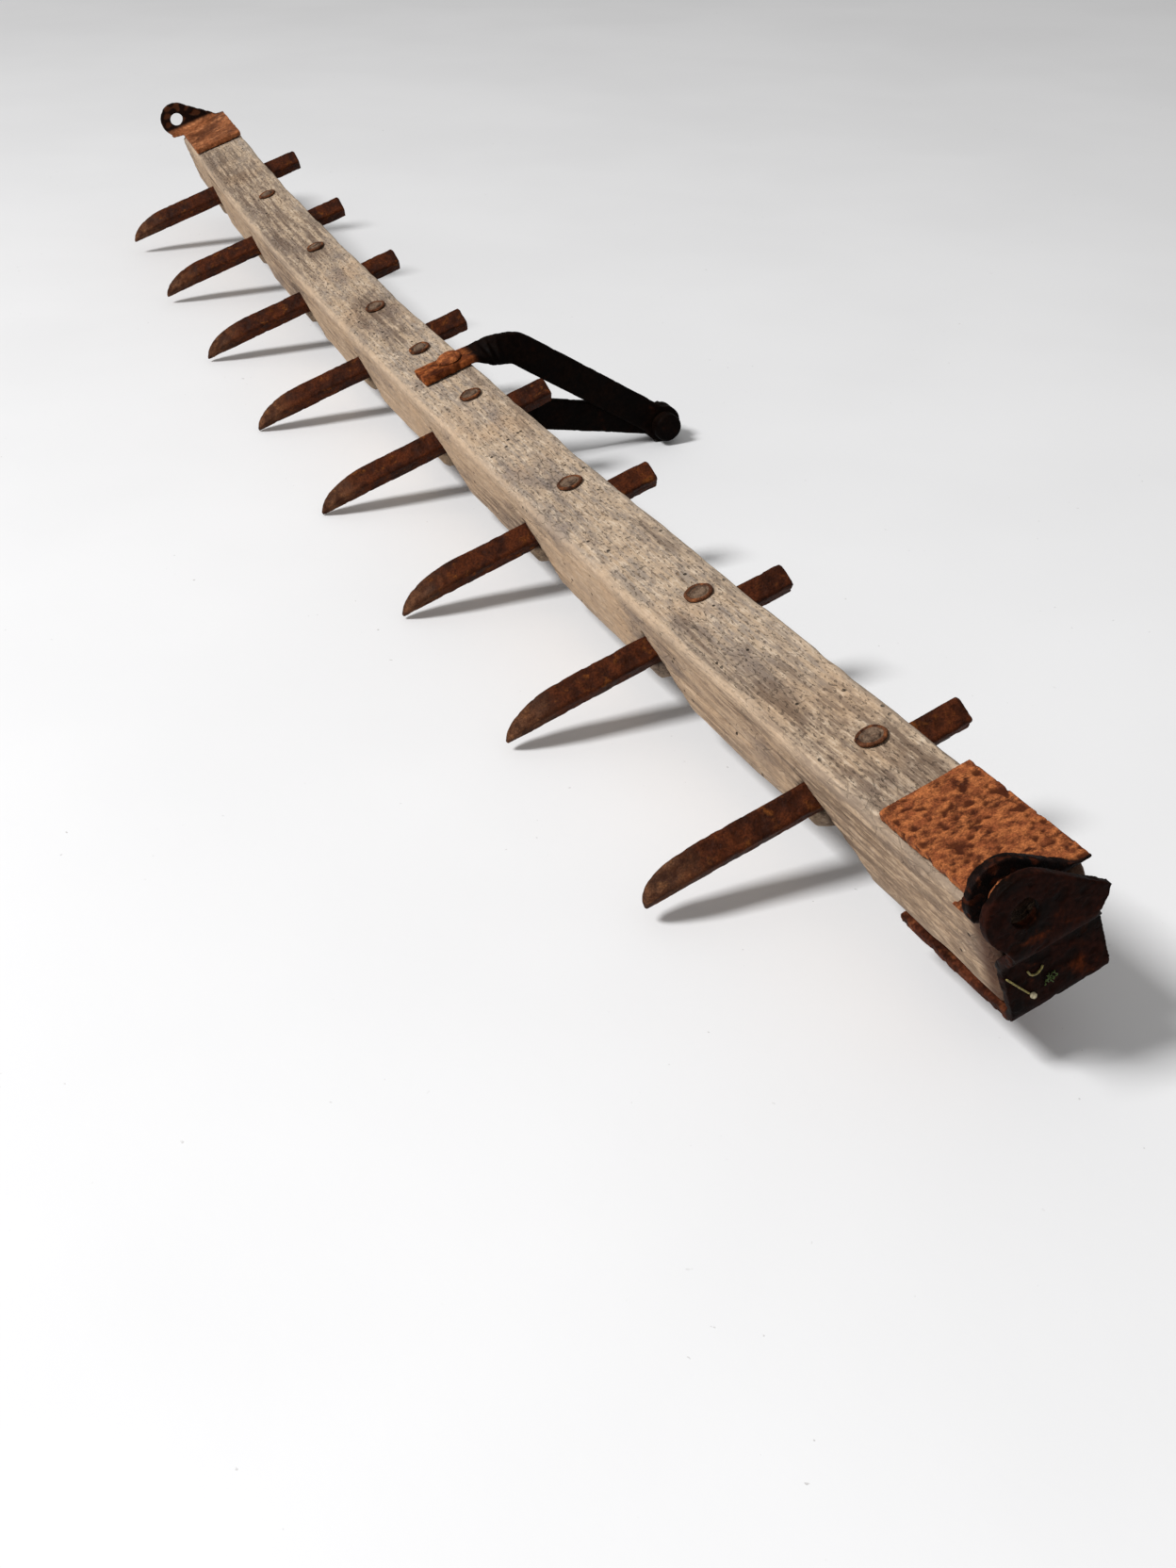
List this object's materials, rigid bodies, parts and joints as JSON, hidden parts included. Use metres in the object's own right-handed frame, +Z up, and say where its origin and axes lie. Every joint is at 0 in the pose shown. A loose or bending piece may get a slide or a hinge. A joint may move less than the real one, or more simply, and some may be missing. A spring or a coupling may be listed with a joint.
{
  "type": "spike-tooth harrow bar",
  "caption": "Weathered wooden harrow bar with square iron teeth driven through it, riveted iron end straps with pivot eyes and a twisted two-arm link bracket.",
  "frame": {"origin": "centre of the bottom of the bounding box, on the floor the bar lies on", "axes": "+X runs along the bar to the end with the single lug, +Y towards the tooth points, +Z up"},
  "size_m": [1.713, 0.3224, 0.1293],
  "materials": {
    "weathered_wood": "grey, dry and split, with worn edges",
    "tooth_iron": "rusted square bar, darker below",
    "strap_iron": "bright orange rust, pitted",
    "bracket_iron": "nearly black, smooth old rust",
    "rivet_iron": "rusted rim, worn grey middle"
  },
  "bodies": {
    "harrow_bar": {"wooden_bar": "weathered_wood", "tooth_1": "tooth_iron", "tooth_2": "tooth_iron", "tooth_3": "tooth_iron", "tooth_4": "tooth_iron", "tooth_5": "tooth_iron", "tooth_6": "tooth_iron", "tooth_7": "tooth_iron", "tooth_8": "tooth_iron", "bar_rivet_1": "rivet_iron", "bar_rivet_burr_1": "rivet_iron", "bar_rivet_2": "rivet_iron", "bar_rivet_burr_2": "rivet_iron", "bar_rivet_3": "rivet_iron", "bar_rivet_burr_3": "rivet_iron", "bar_rivet_4": "rivet_iron", "bar_rivet_burr_4": "rivet_iron", "bar_rivet_5": "rivet_iron", "bar_rivet_burr_5": "rivet_iron", "bar_rivet_6": "rivet_iron", "bar_rivet_burr_6": "rivet_iron", "bar_rivet_7": "rivet_iron", "bar_rivet_burr_7": "rivet_iron", "bar_rivet_8": "rivet_iron", "bar_rivet_burr_8": "rivet_iron", "fork_inner_strap": "strap_iron", "fork_outer_strap": "strap_iron", "fork_strap_rivet_1": "strap_iron", "fork_strap_rivet_2": "strap_iron", "lug_strap": "strap_iron", "lug_strap_rivet_1": "strap_iron", "lug_strap_burr_1": "rivet_iron", "lug_strap_rivet_2": "strap_iron", "lug_strap_burr_2": "rivet_iron", "bracket_upper_arm": "bracket_iron", "bracket_lower_arm": "bracket_iron", "bracket_bolt": "rivet_iron", "bracket_nut": "bracket_iron"},
    "link": {"link_pin": "bracket_iron", "link_pin_nut": "bracket_iron"}
  },
  "joints": [
    {"name": "link_pin_turn", "type": "hinge", "parent": "harrow_bar", "child": "link", "pos_m": [-0.02101, -0.14575, 0.0155], "axis": [1, 0, 0], "continuous": true}
  ]
}
